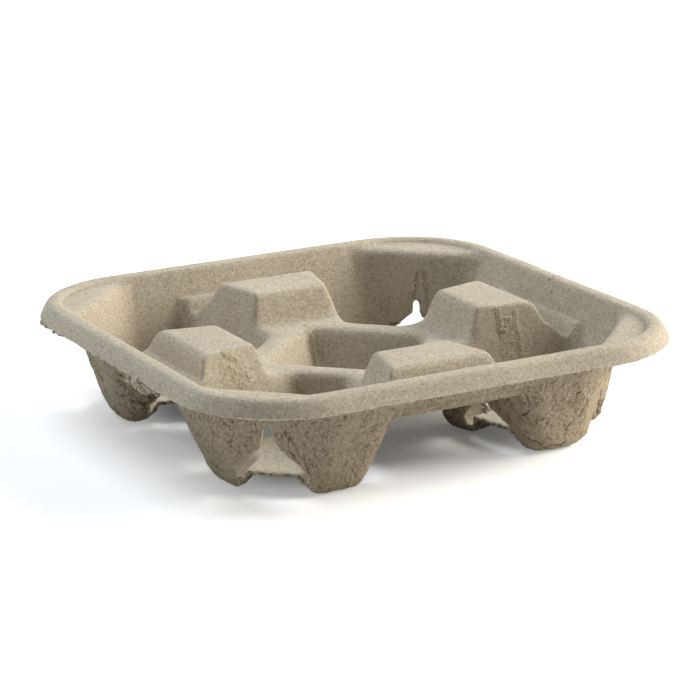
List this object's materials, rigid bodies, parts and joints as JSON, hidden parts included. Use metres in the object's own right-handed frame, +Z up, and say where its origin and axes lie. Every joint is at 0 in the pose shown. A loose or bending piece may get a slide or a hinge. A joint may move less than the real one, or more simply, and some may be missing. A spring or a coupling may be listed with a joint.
{
  "type": "cup carrier",
  "caption": "Square moulded-pulp tray with a rolled rim and cup wells in its corners, split by raised islands round a middle recess, with torn slots and windows in the well walls.",
  "frame": {"origin": "centre of the tray on the plane that its feet stand on", "axes": "+Z up; -Y and -X toward the two sides nearest the camera in the picture, which meet at the near-left corner; +X toward the right-hand corner"},
  "size_m": [0.2168, 0.2168, 0.0466],
  "materials": {
    "pulp": "matte, fibrous"
  },
  "bodies": {
    "root": {"cup_carrier": "pulp"}
  },
  "joints": []
}
